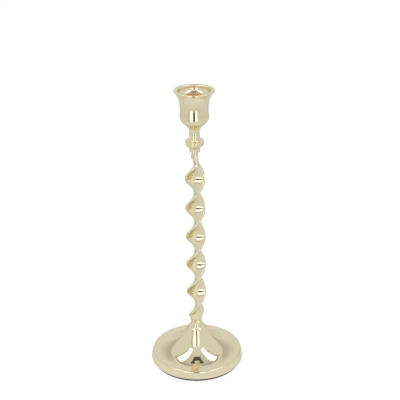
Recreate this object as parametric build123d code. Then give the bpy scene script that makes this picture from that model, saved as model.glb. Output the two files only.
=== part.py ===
from build123d import *
import os
from math import cos, radians, sin, sqrt, tan

# A brass holder for one taper candle: a weighted trumpet foot, a flat bar twisted
# into a spiral, a turned knop, and a tulip cup.
# Lengths in millimetres, angles in degrees. +Z is up, Z is the axis, the felt stands on z = 0.
# Outlines are drawn as (radius, height) and turned about Z.

# Felt under the foot
felt_thickness = 3.2
felt_inset = 2.4

# Spun shell of the foot: a cone, two hollow arcs and an upright rim
foot_height = 44.0
foot_radius = 48.9
foot_wall = 1.5
foot_top_radius = 5.5
foot_top_rounding = 2.0
rim_height = 8.1
rim_draft = 14.5
rim_crest_rounding = 1.3
rim_edge_rounding = 0.7
cone_slope = 57.0
bell_slope = 28.0
dish_slope = 2.0
bell_arc_radius = 46.0

# Flat bar, twisted between two straight ends that are drawn in
bar_length = 193.2
bar_foot_flat = 10.2
bar_head_flat = 9.6
bar_width = 20.0
bar_thickness = 3.2
bar_edge_rounding = 1.0
bar_turns = 2.719
bar_clocking = 30.5
bar_foot_width = 11.6
bar_foot_taper = 18.3
bar_head_width = 9.8
bar_head_taper = 16.0
tang_width = 5.0
foot_tang_length = 9.0
head_tang_length = 6.0
tang_clearance = 0.1

# Boss on the bar's lower tang
boss_length = 18.0
boss_chamfer = 0.5

# Turned collar, knop and neck in one piece
collar_radius = 5.4
collar_sleeve = 3.8
collar_chamfer = 0.4
collar_rounding = 4.0
knop_radius = 9.3
knop_draft = 2.5
knop_rounding = 0.4
knop_under_height = 3.8
knop_height = 4.2
neck_radius = 5.2
neck_length = 8.6
neck_rounding = 2.0

# Tulip cup
cup_height = 42.4
cup_wall = 2.35
bowl_swell = 0.45
bowl_under_radius = 8.5
bowl_under_slope = 45.0
bowl_corner_radius = 7.2
waist_drop = 19.7
flare_radius = 36.0
flare_lean = 21.2
lip_overhang = 6.05
lip_edge = 0.8
lip_wall = 4.2
lip_rounding = 0.5

# Candle socket in the cup
candle_diameter = 22.0
socket_clearance = 0.5
socket_drop = 30.4
mouth_arc_radius = 5.7
mouth_rounding = 1.4
mouth_straight = 0.3

# Countersunk screw that ties the cup to the neck
cup_screw_diameter = 5.0
cup_screw_grip = 7.0
cup_screw_head_diameter = 9.2
cup_screw_head_slope = 45.0
cup_screw_head_land = 0.4
cup_screw_recess = 3.1

# Hexagon bolt that ties the foot to the bar, with its two washers
bolt_diameter = 6.0
bolt_tip_gap = 2.6
bolt_head_height = 4.0
bolt_head_flats = 10.0
bolt_head_gap = 1.0
washer_diameter = 16.0
washer_thickness = 1.6
spring_washer_diameter = 11.8
spring_washer_thickness = 1.6
spring_washer_split = 1.2
spring_washer_lean = 20.0

# Cast plate that closes and weights the foot
plate_web = 4.5
plate_rim_width = 7.0
plate_hub_radius = 13.0
plate_hub_floor = 4.8
plate_pocket_radius = 9.5

# Clearances, and the length by which a cutter passes the face it leaves
screw_clearance = 0.3
thread_clearance = 0.05
seat_clearance = 0.2
overrun = 1.0

# Heights of the joints between the pieces, from the floor up
rim_crest_z = felt_thickness + rim_height
boss_z = foot_height - foot_wall
boss_bottom_z = boss_z - boss_length
collar_z = foot_height + bar_length
twist_z = foot_height + bar_foot_flat
twist_end_z = collar_z - bar_head_flat
knop_z = collar_z + collar_sleeve + knop_under_height
neck_z = knop_z + knop_height
cup_z = neck_z + neck_length
lip_z = cup_z + cup_height
socket_z = lip_z - socket_drop
cup_screw_z = socket_z - cup_screw_recess
cup_screw_end_z = cup_z - cup_screw_grip
bolt_head_z = felt_thickness + bolt_head_gap
spring_washer_z = bolt_head_z + bolt_head_height
washer_z = spring_washer_z + spring_washer_thickness
hub_floor_z = washer_z + washer_thickness
hub_top_z = hub_floor_z + plate_hub_floor
foot_tang_z = foot_height - foot_tang_length
bolt_end_z = foot_tang_z - bolt_tip_gap

# Sizes that follow from the ones above
bar_head_angle = bar_clocking + 360 * bar_turns
socket_radius = candle_diameter / 2 + socket_clearance
waist_radius = socket_radius + cup_wall
bowl_radius = waist_radius + bowl_swell
lip_radius = waist_radius + lip_overhang
rim_lean = tan(radians(rim_draft))
rim_wall = foot_wall / cos(radians(rim_draft))
rim_crest_radius = foot_radius - rim_height * rim_lean


def at(radius, height):
    """Point of an outline."""
    return Vector(radius, 0, height)


def square_to(slope):
    """Unit vector out of a surface that falls outward at this slope."""
    return at(sin(radians(slope)), cos(radians(slope)))


def arc_about(center, first, last):
    """Shorter arc about a centre between two points at the same distance from it."""
    radius = (first - center).length
    middle = (first + last - center * 2).normalized()
    return ThreePointArc(first, center + middle * radius, last)


def chain(*points):
    """Straight edges from point to point."""
    return [Line(first, last) for first, last in zip(points, points[1:])]


def turned(edges, roundings=()):
    """Solid turned about Z from a closed outline, after rounding the corners listed."""
    face = Face(Wire(edges))
    for corner, radius in roundings:
        face = face.fillet_2d(radius, [face.vertices().sort_by_distance(corner)[0]])
    return Solid.revolve(face, 360, Axis.Z)


def disc(radius, bottom, top):
    """Upright cylinder on the axis."""
    shape = Cylinder(radius, top - bottom, align=(Align.CENTER, Align.CENTER, Align.MIN))
    return Pos(0, 0, bottom) * shape


def flat(clearance, bottom, top, angle):
    """Upright flat prism of the tang's section, grown by a clearance and turned to the bar's angle."""
    width = tang_width + 2 * clearance
    thickness = bar_thickness + 2 * clearance
    shape = Box(width, thickness, top - bottom, align=(Align.CENTER, Align.CENTER, Align.MIN))
    return Pos(0, 0, bottom) * Rot(0, 0, angle) * shape


def trumpet_centers():
    """Centres of the bell and dish arcs and the dish arc's radius; the cone sets that radius."""
    cone, bell, dish = (square_to(slope) for slope in (cone_slope, bell_slope, dish_slope))
    rise = tan(radians(cone_slope))
    crest = at(rim_crest_radius, rim_crest_z)
    start = crest + (bell - cone) * bell_arc_radius
    step = dish - bell
    miss = (start.X - foot_top_radius) * rise + start.Z - foot_height
    dish_arc_radius = -miss / (step.X * rise + step.Z)
    dish_center = crest + dish * dish_arc_radius
    bell_center = dish_center + bell * (bell_arc_radius - dish_arc_radius)
    return bell_center, dish_center, dish_arc_radius


def trumpet(depth):
    """Edges from the cone's top to the rim's crest, at a depth under the outer surface."""
    bell_center, dish_center, dish_arc_radius = trumpet_centers()
    cone_end = bell_center - square_to(cone_slope) * (bell_arc_radius + depth)
    bell_end = bell_center - square_to(bell_slope) * (bell_arc_radius + depth)
    dish_end = dish_center - square_to(dish_slope) * (dish_arc_radius + depth)
    cone_height = foot_height - depth - cone_end.Z
    cone_top = cone_end + at(-cone_height / tan(radians(cone_slope)), cone_height)
    return [
        Line(cone_top, cone_end),
        arc_about(bell_center, cone_end, bell_end),
        arc_about(dish_center, bell_end, dish_end),
    ]


def rim_inside(height):
    """Inner radius of the rim at a height."""
    return foot_radius - rim_wall - (height - felt_thickness) * rim_lean


def dish_underside(radius):
    """Height of the dish's underside at a radius."""
    bell_center, dish_center, dish_arc_radius = trumpet_centers()
    return dish_center.Z - sqrt((dish_arc_radius + foot_wall) ** 2 - (dish_center.X - radius) ** 2)


def make_felt_pad():
    """Round pad under the whole foot."""
    return disc(foot_radius - felt_inset, 0, felt_thickness)


def make_base_shell():
    """Spun shell, open below and slotted above for the bar's tang."""
    top = at(foot_top_radius, foot_height)
    crest = at(rim_crest_radius, rim_crest_z)
    edge = at(foot_radius, felt_thickness)
    rest = chain(crest, edge, at(0, felt_thickness), at(0, foot_height), top)
    roundings = (
        (top, foot_top_rounding),
        (crest, rim_crest_rounding),
        (edge, rim_edge_rounding),
    )
    body = turned(trumpet(0) + rest, roundings)

    below = felt_thickness - overrun
    under = trumpet(foot_wall)
    under_top = under[0] @ 0
    under_end = under[-1] @ 1
    under_dish = turned(under + chain(
        under_end,
        at(foot_radius, under_end.Z),
        at(foot_radius, below),
        at(0, below),
        at(0, under_top.Z),
        under_top,
    ))
    inside_rim = turned(chain(
        at(0, below),
        at(rim_inside(below), below),
        at(rim_inside(foot_height), foot_height),
        at(0, foot_height),
        at(0, below),
    ))
    slot = flat(tang_clearance, boss_z - overrun, foot_height + overrun, bar_clocking)
    return body - (under_dish & inside_rim) - slot


def make_ballast_plate():
    """Cast plate: thick rim, thin web and a hub whose pocket hides the bolt's head."""
    rim_top = dish_underside(rim_inside(rim_crest_z)) - seat_clearance
    web_top = felt_thickness + plate_web
    outer_top = rim_inside(rim_top) - seat_clearance
    outer_bottom = rim_inside(felt_thickness) - seat_clearance
    inner = outer_top - plate_rim_width
    plate = turned(chain(
        at(0, felt_thickness),
        at(outer_bottom, felt_thickness),
        at(outer_top, rim_top),
        at(inner, rim_top),
        at(inner, web_top),
        at(plate_hub_radius, web_top),
        at(plate_hub_radius, hub_top_z),
        at(0, hub_top_z),
        at(0, felt_thickness),
    ))
    pocket = disc(plate_pocket_radius, felt_thickness - overrun, hub_floor_z)
    hole = disc(bolt_diameter / 2 + screw_clearance, hub_floor_z - overrun, hub_top_z + overrun)
    return plate - pocket - hole


def make_tie_bolt():
    """Hexagon bolt, head down."""
    hexagon = RegularPolygon(bolt_head_flats / 2, 6, major_radius=False)
    head = Pos(0, 0, bolt_head_z) * extrude(hexagon, bolt_head_height)
    return head + disc(bolt_diameter / 2, spring_washer_z, bolt_end_z)


def bolt_ring(diameter, bottom, thickness):
    """Flat ring round the bolt."""
    top = bottom + thickness
    hole = disc(bolt_diameter / 2 + screw_clearance, bottom - overrun, top + overrun)
    return disc(diameter / 2, bottom, top) - hole


def make_flat_washer():
    """Plain washer under the hub."""
    return bolt_ring(washer_diameter, washer_z, washer_thickness)


def make_spring_washer():
    """Washer with one leaning split."""
    ring = bolt_ring(spring_washer_diameter, spring_washer_z, spring_washer_thickness)
    split = Box(spring_washer_diameter, spring_washer_split, spring_washer_diameter)
    middle = spring_washer_z + spring_washer_thickness / 2
    return ring - Pos(spring_washer_diameter / 2, 0, middle) * Rot(spring_washer_lean, 0, 0) * split


def make_foot_boss():
    """Turned boss, slotted above for the tang and tapped below for the bolt."""
    top = trumpet(foot_wall)[0] @ 0
    radius = top.X - seat_clearance
    boss = turned(chain(
        at(0, boss_bottom_z),
        at(radius, boss_bottom_z),
        at(radius, boss_z - boss_chamfer),
        at(radius - boss_chamfer, boss_z),
        at(0, boss_z),
        at(0, boss_bottom_z),
    ))
    slot = flat(tang_clearance, foot_tang_z - tang_clearance, boss_z + overrun, bar_clocking)
    hole_end = bolt_end_z + screw_clearance
    hole = disc(bolt_diameter / 2 + thread_clearance, boss_bottom_z - overrun, hole_end)
    return boss - slot - hole


def bar_end(height, width, taper, way):
    """Curve that draws in one end of the bar; way is 1 where the bar runs up from it."""
    start = at(width / 2, height)
    full = at(bar_width / 2 + overrun, height + way * taper)
    return Spline(start, full, tangents=(at(0, way), at(0, way)))


def bar_envelope():
    """Turned body that leaves the bar's middle whole and draws in its two ends."""
    foot = bar_end(foot_height, bar_foot_width, bar_foot_taper, 1)
    head = bar_end(collar_z, bar_head_width, bar_head_taper, -1)
    ends = chain(head @ 0, at(0, collar_z), at(0, foot_height), foot @ 0)
    return turned([foot, Line(foot @ 1, head @ 1), head] + ends)


def bar_section(height, angle):
    """Section of the bar at a height, turned to an angle."""
    outline = RectangleRounded(bar_width, bar_thickness, bar_edge_rounding)
    return (Pos(0, 0, height) * Rot(0, 0, angle) * outline).face()


def half_spiral(height, angle, way):
    """Half of the twisted length, from one of its ends to its middle."""
    section = bar_section(height, angle)
    length = Vector(0, 0, way * (twist_end_z - twist_z) / 2)
    return Solid.extrude_linear_with_rotation(section, (0, 0, height), length, 180 * bar_turns)


def make_twisted_bar():
    """Flat bar twisted about its own axis between straight, drawn-in ends, with a tang at each end."""
    envelope = bar_envelope()
    foot_end = extrude(bar_section(foot_height, bar_clocking), bar_foot_flat) & envelope
    lower = half_spiral(twist_z, bar_clocking, 1) & envelope
    upper = half_spiral(twist_end_z, bar_head_angle, -1) & envelope
    head_end = extrude(bar_section(twist_end_z, bar_head_angle), bar_head_flat) & envelope
    foot_tang = flat(0, foot_tang_z, foot_height, bar_clocking)
    head_tang = flat(0, collar_z, collar_z + head_tang_length, bar_head_angle)
    return lower + upper + foot_end + head_end + foot_tang + head_tang


def make_stem_knop():
    """Collar, knop and neck, slotted below for the bar's tang and tapped above for the cup's screw."""
    sleeve_top = at(collar_radius, collar_z + collar_sleeve)
    knop_bottom = at(knop_radius - knop_height * tan(radians(knop_draft)), knop_z)
    knop_top = at(knop_radius, neck_z)
    neck_bottom = at(neck_radius, neck_z)
    edges = chain(
        at(0, collar_z),
        at(collar_radius - collar_chamfer, collar_z),
        at(collar_radius, collar_z + collar_chamfer),
        sleeve_top,
        knop_bottom,
        knop_top,
        neck_bottom,
        at(neck_radius, cup_z),
        at(0, cup_z),
        at(0, collar_z),
    )
    roundings = (
        (sleeve_top, collar_rounding),
        (knop_bottom, knop_rounding),
        (knop_top, knop_rounding),
        (neck_bottom, neck_rounding),
    )
    body = turned(edges, roundings)
    tang_top = collar_z + head_tang_length + tang_clearance
    slot = flat(tang_clearance, collar_z - overrun, tang_top, bar_head_angle)
    hole_end = cup_screw_end_z - screw_clearance
    hole = disc(cup_screw_diameter / 2 + thread_clearance, hole_end, cup_z + overrun)
    return body - slot - hole


def cup_outside():
    """Edges of the cup from its seat on the neck up to the lip."""
    seat = at(neck_radius, cup_z)
    lean = radians(bowl_under_slope)
    under_center = seat + at(bowl_under_radius, 0)
    under_end = under_center + at(-cos(lean), sin(lean)) * bowl_under_radius
    corner_run = bowl_radius - bowl_corner_radius * (1 - sin(lean)) - under_end.X
    corner_start = under_end + at(corner_run, corner_run * tan(lean))
    corner_center = corner_start + at(-sin(lean), cos(lean)) * bowl_corner_radius
    belly = corner_center + at(bowl_corner_radius, 0)
    waist = at(waist_radius, lip_z - waist_drop)
    flare_center = waist + at(flare_radius, 0)
    lean = radians(flare_lean)
    flare_end = flare_center + at(-cos(lean), sin(lean)) * flare_radius
    lip_bottom = at(lip_radius, lip_z - lip_edge)
    return [
        Line(at(0, cup_z), seat),
        arc_about(under_center, seat, under_end),
        Line(under_end, corner_start),
        arc_about(corner_center, corner_start, belly),
        Spline(belly, waist, tangents=(at(0, 1), at(0, 1))),
        arc_about(flare_center, waist, flare_end),
        TangentArc(flare_end, lip_bottom, tangent=at(sin(lean), cos(lean))),
        Line(lip_bottom, at(lip_radius, lip_z)),
    ]


def make_candle_cup():
    """Turned cup with a bowl-shaped mouth, a candle socket and a countersunk hole through its floor."""
    lip_outside = at(lip_radius, lip_z)
    lip_inside = at(lip_radius - lip_wall, lip_z)
    mouth_side = lip_inside - at(0, mouth_rounding + mouth_straight)
    mouth_center = mouth_side - at(mouth_arc_radius, 0)
    mouth_depth = sqrt(mouth_arc_radius**2 - (socket_radius - mouth_center.X) ** 2)
    socket_edge = at(socket_radius, mouth_center.Z - mouth_depth)
    inside = (
        chain(lip_outside, lip_inside, mouth_side)
        + [arc_about(mouth_center, mouth_side, socket_edge)]
        + chain(socket_edge, at(socket_radius, socket_z), at(0, socket_z), at(0, cup_z))
    )
    roundings = ((lip_inside, mouth_rounding), (lip_outside, lip_rounding))
    body = turned(cup_outside() + inside, roundings)
    hole = disc(cup_screw_diameter / 2 + screw_clearance, cup_z - overrun, socket_z)
    recess = cup_screw_head(screw_clearance, socket_z + overrun)
    return body - hole - recess


def cup_screw_head(clearance, top):
    """Countersunk head, grown by a clearance and carried straight up to a height."""
    outer = cup_screw_head_diameter / 2 + clearance
    inner = cup_screw_diameter / 2 + clearance
    cone_top = cup_screw_z - cup_screw_head_land
    cone_bottom = cone_top - (outer - inner) / tan(radians(cup_screw_head_slope))
    return turned(chain(
        at(0, cone_bottom),
        at(inner, cone_bottom),
        at(outer, cone_top),
        at(outer, top),
        at(0, top),
        at(0, cone_bottom),
    ))


def make_cup_screw():
    """Countersunk screw, head up."""
    shank = disc(cup_screw_diameter / 2, cup_screw_end_z, cup_screw_z - cup_screw_head_land)
    return shank + cup_screw_head(0, cup_screw_z)


pieces = {
    "felt_pad": make_felt_pad(),
    "base_shell": make_base_shell(),
    "ballast_plate": make_ballast_plate(),
    "tie_bolt": make_tie_bolt(),
    "spring_washer": make_spring_washer(),
    "flat_washer": make_flat_washer(),
    "foot_boss": make_foot_boss(),
    "twisted_bar": make_twisted_bar(),
    "stem_knop": make_stem_knop(),
    "candle_cup": make_candle_cup(),
    "cup_screw": make_cup_screw(),
}

os.makedirs("parts", exist_ok=True)
for name, shape in pieces.items():
    export_step(shape.solid(), f"parts/{name}.step")
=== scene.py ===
from math import atan2, cos, exp, hypot, pi, radians, sin, sqrt, tan

import bmesh
import bpy
from bpy.props import FloatProperty, FloatVectorProperty, PointerProperty
from bpy.types import NodeSocket, Operator, Panel, PropertyGroup
from mathutils import Matrix, Vector


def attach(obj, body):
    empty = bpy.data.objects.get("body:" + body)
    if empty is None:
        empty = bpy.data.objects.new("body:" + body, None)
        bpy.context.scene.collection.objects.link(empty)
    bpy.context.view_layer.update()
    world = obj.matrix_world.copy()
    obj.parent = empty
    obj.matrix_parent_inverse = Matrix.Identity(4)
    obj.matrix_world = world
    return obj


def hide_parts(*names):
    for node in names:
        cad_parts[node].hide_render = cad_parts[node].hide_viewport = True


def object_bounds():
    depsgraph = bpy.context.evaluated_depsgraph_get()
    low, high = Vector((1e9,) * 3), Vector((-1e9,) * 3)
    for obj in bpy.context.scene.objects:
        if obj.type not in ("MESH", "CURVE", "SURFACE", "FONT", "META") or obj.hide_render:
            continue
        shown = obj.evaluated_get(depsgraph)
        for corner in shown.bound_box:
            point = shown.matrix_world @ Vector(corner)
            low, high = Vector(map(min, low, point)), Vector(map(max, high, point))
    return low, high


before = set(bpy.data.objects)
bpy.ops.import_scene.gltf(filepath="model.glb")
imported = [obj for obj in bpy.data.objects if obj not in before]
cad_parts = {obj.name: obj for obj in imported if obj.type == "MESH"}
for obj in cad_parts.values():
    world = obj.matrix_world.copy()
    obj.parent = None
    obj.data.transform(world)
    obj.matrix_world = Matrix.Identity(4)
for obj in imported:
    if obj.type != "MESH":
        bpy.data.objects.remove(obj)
cad_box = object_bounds()

bl_info = {
    "name": "Spiral candle holder",
    "version": (1, 0, 0),
    "blender": (4, 5, 0),
    "location": "View3D > Sidebar > Candle Holder",
    "description": "Smooth polished pieces, finishes and a studio stage for a packed brass candle holder",
    "category": "Object",
}

# Points nearer than the first are one point. Edges shorter than the second are taken out.
NEAR = 1e-6
SLIVER = 1e-7
# Edges that bend more than this stay sharp, on the turned pieces and on the bar.
CREASE = radians(28)
BAR_CREASE = radians(40)
# Steps round the axis of each turned piece, and rings along the bar.
FELT_STEPS, FOOT_STEPS, KNOP_STEPS, CUP_STEPS, SCREW_STEPS = 120, 176, 112, 144, 48
BAR_RINGS = 420
# Longest step on the felt's outline, which needs fewer points than the metal.
FELT_SPACING = 0.003
# Slope of the straight run under the cup's belly.
UNDER_SLOPE = pi / 4
# How late the raw colour sets in where polish goes missing.
RAW_ONSET = 6.0
# How close the fine marks on the bar stand, across it and along it.
MARKS_ACROSS, MARKS_ALONG = 2600.0, 60.0
WHITE = (1, 1, 1, 1)

# Nearest place that the camera shows.
CAMERA_START = 0.01
# Disc of the floor, where it passes behind the foot, and how far off the foot's own light fades.
FLOOR_RADIUS, FLOOR_SIDES = 6.0, 96
BEHIND_FOOT = (-0.03, 0.08)
FOOT_LIGHT = (0.15, 0.45)
# Lowest edge of the standing cards, and the heights of the ceiling's cards over the lamps.
CARD_LIFT = 0.002
FRAME_OVER, GAP_OVER, SHADE_OVER = 0.01, 0.05, 0.1
# Share of the frame's width on a lamp's inner side.
FRAME_INSIDE = 0.3
# Darker bands behind: share of the height, share of the darkness.
BAND_ROWS = ((0, 0), (0.0625, 1), (0.7, 1), (1, 0))
# Gap between the lamps: depth, half width.
GAP_ROWS = ((-0.28, 0.19), (0.42, 0.24))
# Shade on the ceiling: place from side to side or in depth, share of the darkness.
SHADE_ACROSS = ((-1.25, 0), (-1.05, 1), (-0.5, 1), (0, 0.7), (0.5, 1), (1.05, 1), (1.25, 0))
SHADE_DEPTH = ((-0.7, 0), (-0.3, 0.35), (0.5, 0.5), (0.62, 1), (0.74, 1), (0.9, 0))
# Cards beside the camera: shares of the distance, height, width and brightness, and if the gap is paler.
CARD_ROWS = (
    (0.6, 0, 1, 0, False),
    (0.8, 0, 1, 0.9, False),
    (1, 0, 1, 1, False),
    (1, 0.3, 1, 1, False),
    (1, 0.6, 0.9, 1, True),
    (1, 0.9, 0.75, 1, True),
    (1, 1, 0.7, 0, True),
)


def size(name, description, default):
    """A length that a user can change."""
    return FloatProperty(
        name=name, description=description, default=default,
        min=0, precision=4, subtype="DISTANCE", unit="LENGTH",
    )


def slant(name, description, degrees):
    """An angle that a user can change."""
    return FloatProperty(
        name=name, description=description, default=radians(degrees), subtype="ANGLE", unit="ROTATION"
    )


def share(name, description, default):
    """A number from nothing to one that a user can change."""
    return FloatProperty(name=name, description=description, default=default, min=0, max=1, subtype="FACTOR")


def level(name, description, default):
    """A brightness that a user can change."""
    return FloatProperty(name=name, description=description, default=default, min=0)


def tint(name, description, default):
    """A colour that a user can change."""
    return FloatVectorProperty(
        name=name, description=description, default=default, size=3, min=0, max=1, subtype="COLOR"
    )


class FootSettings(PropertyGroup):
    """Sizes of the spun foot and the felt under it."""

    felt_thickness: size("Felt thickness", "Thickness of the felt under the foot", 0.0032)
    felt_inset: size("Felt inset", "How far the felt stays inside the rim", 0.0024)
    felt_edge: size("Felt edge", "Rounding of the felt's cut edge", 0.0006)
    height: size("Height", "Height of the cone's top above the table", 0.044)
    radius: size("Radius", "Radius of the rim's lower edge", 0.0489)
    wall: size("Wall", "Thickness of the spun sheet", 0.0015)
    top_radius: size("Top radius", "Radius of the cone's flat top", 0.0055)
    rim_height: size("Rim height", "Height of the rim from its lower edge to its crest", 0.0081)
    rim_draft: slant("Rim draft", "Lean of the rim from upright", 14.5)
    crest_rounding: size("Crest rounding", "Rounding between the dish and the rim", 0.0013)
    edge_rounding: size("Edge rounding", "Rounding of the rim's lower edge", 0.0007)
    cone_slope: slant("Cone slope", "Fall of the cone", 57)
    bell_slope: slant("Bell slope", "Fall where the bell passes into the dish", 28)
    dish_slope: slant("Dish slope", "Fall of the dish at the crest", 2)
    bell_radius: size("Bell radius", "Radius of the hollow arc under the cone", 0.046)
    dome_rise: size("Dome rise", "How far the cone's end rises round the bar", 0.0026)
    dome_start: size("Dome start", "Radius where the cone's end meets the bar", 0.0015)
    dome_rounding: size("Dome rounding", "Rounding at the cone's top edge", 0.0012)
    cap_slope: slant("Cap slope", "Fall of the short flared cap under the bar", 62)
    cap_flare: slant("Cap flare", "Fall of the cap at its lower edge", 35)
    cap_drop: size("Cap drop", "Depth of the cap's lower edge under the cone's top", 0.0055)
    cap_radius: size("Cap radius", "Radius of the cap's lower edge", 0.0094)
    cap_rounding: size("Cap rounding", "Rounding of the cap's lower edge", 0.0007)
    throat_slope: slant("Throat slope", "Fall of the bell where the hollow under the cap runs into it", 48)
    # Painted shade: the brass by the joint with the felt is darkened, as shade falls there.
    joint_reach: size("Joint reach", "How far tarnish spreads from the joint with the felt", 0.0005)


class BarSettings(PropertyGroup):
    """Sizes of the twisted bar."""

    length: size("Length", "Length between the foot and the collar", 0.1932)
    foot_flat: size("Foot flat", "Length of the straight lower end", 0.0102)
    head_flat: size("Head flat", "Length of the straight upper end", 0.0096)
    ease: size("Ease", "Length over which the twist sets in and ends", 0.0004)
    width: size("Width", "Width of the flat bar", 0.02)
    thickness: size("Thickness", "Thickness of the flat bar", 0.0032)
    edge_rounding: size("Edge rounding", "Rounding of the bar's long edges", 0.001)
    turns: FloatProperty(name="Turns", description="Turns of the twist", default=2.719, min=0)
    clocking: slant("Clocking", "Angle of the bar where it leaves the foot", 30.5)
    foot_width: size("Foot width", "Width where the bar meets the foot", 0.0116)
    foot_taper: size("Foot taper", "Length over which the lower end is drawn in", 0.0183)
    head_width: size("Head width", "Width where the bar meets the collar", 0.0098)
    head_taper: size("Head taper", "Length over which the upper end is drawn in", 0.016)
    taper_past: size("Taper past", "How far the two tapers run on past the bar's width", 0.001)
    tang_width: size("Tang width", "Width of the tang at each end", 0.005)
    tang_play: size("Tang play", "How much thinner the tangs are than the bar", 0.00004)
    foot_tang: size("Foot tang", "Length of the lower tang", 0.009)
    head_tang: size("Head tang", "Length of the upper tang", 0.006)
    # Painted shade: the brass by the joint with the collar is darkened, as shade falls there.
    joint_reach: size("Joint reach", "How far tarnish spreads from the joint with the collar", 0.0007)


class KnopSettings(PropertyGroup):
    """Sizes of the turned collar, knop and neck."""

    collar_radius: size("Collar radius", "Radius of the sleeve on the bar's upper end", 0.0054)
    collar_sleeve: size("Collar sleeve", "Length of the sleeve", 0.0038)
    collar_chamfer: size("Collar chamfer", "Chamfer of the sleeve's lower edge", 0.0004)
    radius: size("Radius", "Radius of the knop", 0.0093)
    under: size("Under", "Height of the cone under the knop", 0.0038)
    height: size("Height", "Height of the knop's band", 0.0042)
    draft: slant("Draft", "Lean of the knop's band from upright", 2.5)
    edge: size("Edge", "Rounding of the knop's two edges", 0.0004)
    sleeve_hollow: size("Sleeve hollow", "Rounding between the sleeve and the cone", 0.004)
    neck_hollow: size("Neck hollow", "Rounding between the knop's flat top and the neck", 0.002)
    neck_radius: size("Neck radius", "Radius of the neck under the cup", 0.0052)
    neck: size("Neck", "Length of the neck", 0.0086)
    bore: size("Bore", "Radius of the tapped hole for the cup's screw", 0.00255)
    bore_depth: size("Bore depth", "Depth of the tapped hole", 0.0073)
    # Painted shade: the brass by the joints at both ends is darkened, as shade falls there.
    joint_reach: size("Joint reach", "How far tarnish spreads from the joints at both ends", 0.0004)


class CupSettings(PropertyGroup):
    """Sizes of the tulip cup and its screw."""

    height: size("Height", "Height from the neck to the lip", 0.0424)
    socket_radius: size("Socket radius", "Radius of the candle socket", 0.0115)
    socket_drop: size("Socket drop", "Depth of the socket's floor under the lip", 0.0304)
    wall: size("Wall", "Thickness of the wall at the waist", 0.00235)
    swell: size("Swell", "How far the belly stands out from the waist", 0.00045)
    under_radius: size("Under radius", "Radius of the hollow over the neck", 0.0085)
    corner_radius: size("Corner radius", "Radius of the belly's lower corner", 0.0072)
    waist_drop: size("Waist drop", "Depth of the waist under the lip", 0.0197)
    flare_radius: size("Flare radius", "Radius of the flare's first arc", 0.036)
    flare_lean: slant("Flare lean", "Lean where the flare turns out to the lip", 21.2)
    overhang: size("Overhang", "How far the lip stands out from the waist", 0.00605)
    lip_edge: size("Lip edge", "Height of the lip's upright edge", 0.0008)
    lip_wall: size("Lip wall", "Width of the lip", 0.0042)
    lip_rounding: size("Lip rounding", "Rounding of the lip's outer edge", 0.0005)
    mouth_arc: size("Mouth arc", "Radius of the bowl between the lip and the socket", 0.0057)
    mouth_rounding: size("Mouth rounding", "Rounding of the lip's inner edge", 0.0017)
    mouth_raw: size("Mouth raw", "Width of the unpolished ring round the socket's edge", 0.0011)
    screw_radius: size("Screw radius", "Radius of the screw's shank", 0.0025)
    screw_head: size("Screw head", "Radius of the screw's head", 0.0046)
    screw_land: size("Screw land", "Upright edge of the screw's head", 0.0004)
    screw_recess: size("Screw recess", "Depth of the screw's head under the socket's floor", 0.0031)
    screw_grip: size("Screw grip", "Length of the screw in the neck", 0.007)
    slot_width: size("Slot width", "Width of the screw's driver slot", 0.0012)
    slot_depth: size("Slot depth", "Depth of the screw's driver slot", 0.0011)
    clearance: size("Clearance", "Gap between the screw and its hole", 0.0003)
    # Painted shade: the brass by the neck and the socket's floor is darkened, as shade falls there.
    joint_reach: size("Joint reach", "How far tarnish spreads from the neck and the socket's floor", 0.0005)


class FinishSettings(PropertyGroup):
    """Colours and polish of the holder."""

    brass: tint("Brass", "Polished pale brass", (0.84, 0.755, 0.52))
    brass_deep: tint("Deep brass", "Brass where the polish is thin", (0.78, 0.675, 0.41))
    socket: tint("Socket", "Brass inside the socket, which no wheel reaches", (0.96, 0.71, 0.41))
    # Painted shade in the joints: the brass there is darkened toward this brown, in place of the shade
    # between the pieces.
    tarnish: tint("Tarnish", "Brass in the joints, where polish and dust collect", (0.42, 0.30, 0.13))
    plain_brass: tint("Plain brass", "Turned brass without polish", (0.72, 0.57, 0.30))
    steel: tint("Steel", "Bright zinc plating", (0.62, 0.61, 0.58))
    iron: tint("Iron", "Raw casting", (0.09, 0.09, 0.09))
    rust: tint("Rust", "Trace of rust on the casting", (0.13, 0.06, 0.03))
    felt: tint("Felt", "Dark wool felt", (0.035, 0.034, 0.032))
    fleck: tint("Fleck", "Flecks of paler wool", (0.16, 0.155, 0.145))
    gloss: share("Gloss", "Roughness of the best polished places", 0.035)
    haze: share("Haze", "Roughness of the haziest places", 0.085)
    thin_polish: share("Thin polish", "How much deep brass shows in the haziest places", 0.22)
    streaks: share("Streaks", "Roughness that the polish's fine marks add", 0.02)
    # How dark and how dull the painted shade in the joints makes the brass.
    joint_shade_amount: share("Tarnish amount", "How thick the tarnish is in a joint", 0.2)
    joint_shade_rough: share("Tarnish roughness", "Roughness that tarnish adds", 0.3)
    raw_rough: share("Raw roughness", "Roughness where all of the polish is missing", 0.6)
    dome_raw: share("Raw dome", "Polish missing on the cone's end, round the bar", 0.6)
    knop_raw: share("Raw knop", "Polish missing on the knop's band", 0.35)
    under_raw: share("Raw hollow", "Polish missing in the hollow over the neck", 0.4)
    lip_raw: share("Raw lip", "Polish missing on the lip's inner edge", 0.5)


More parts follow.
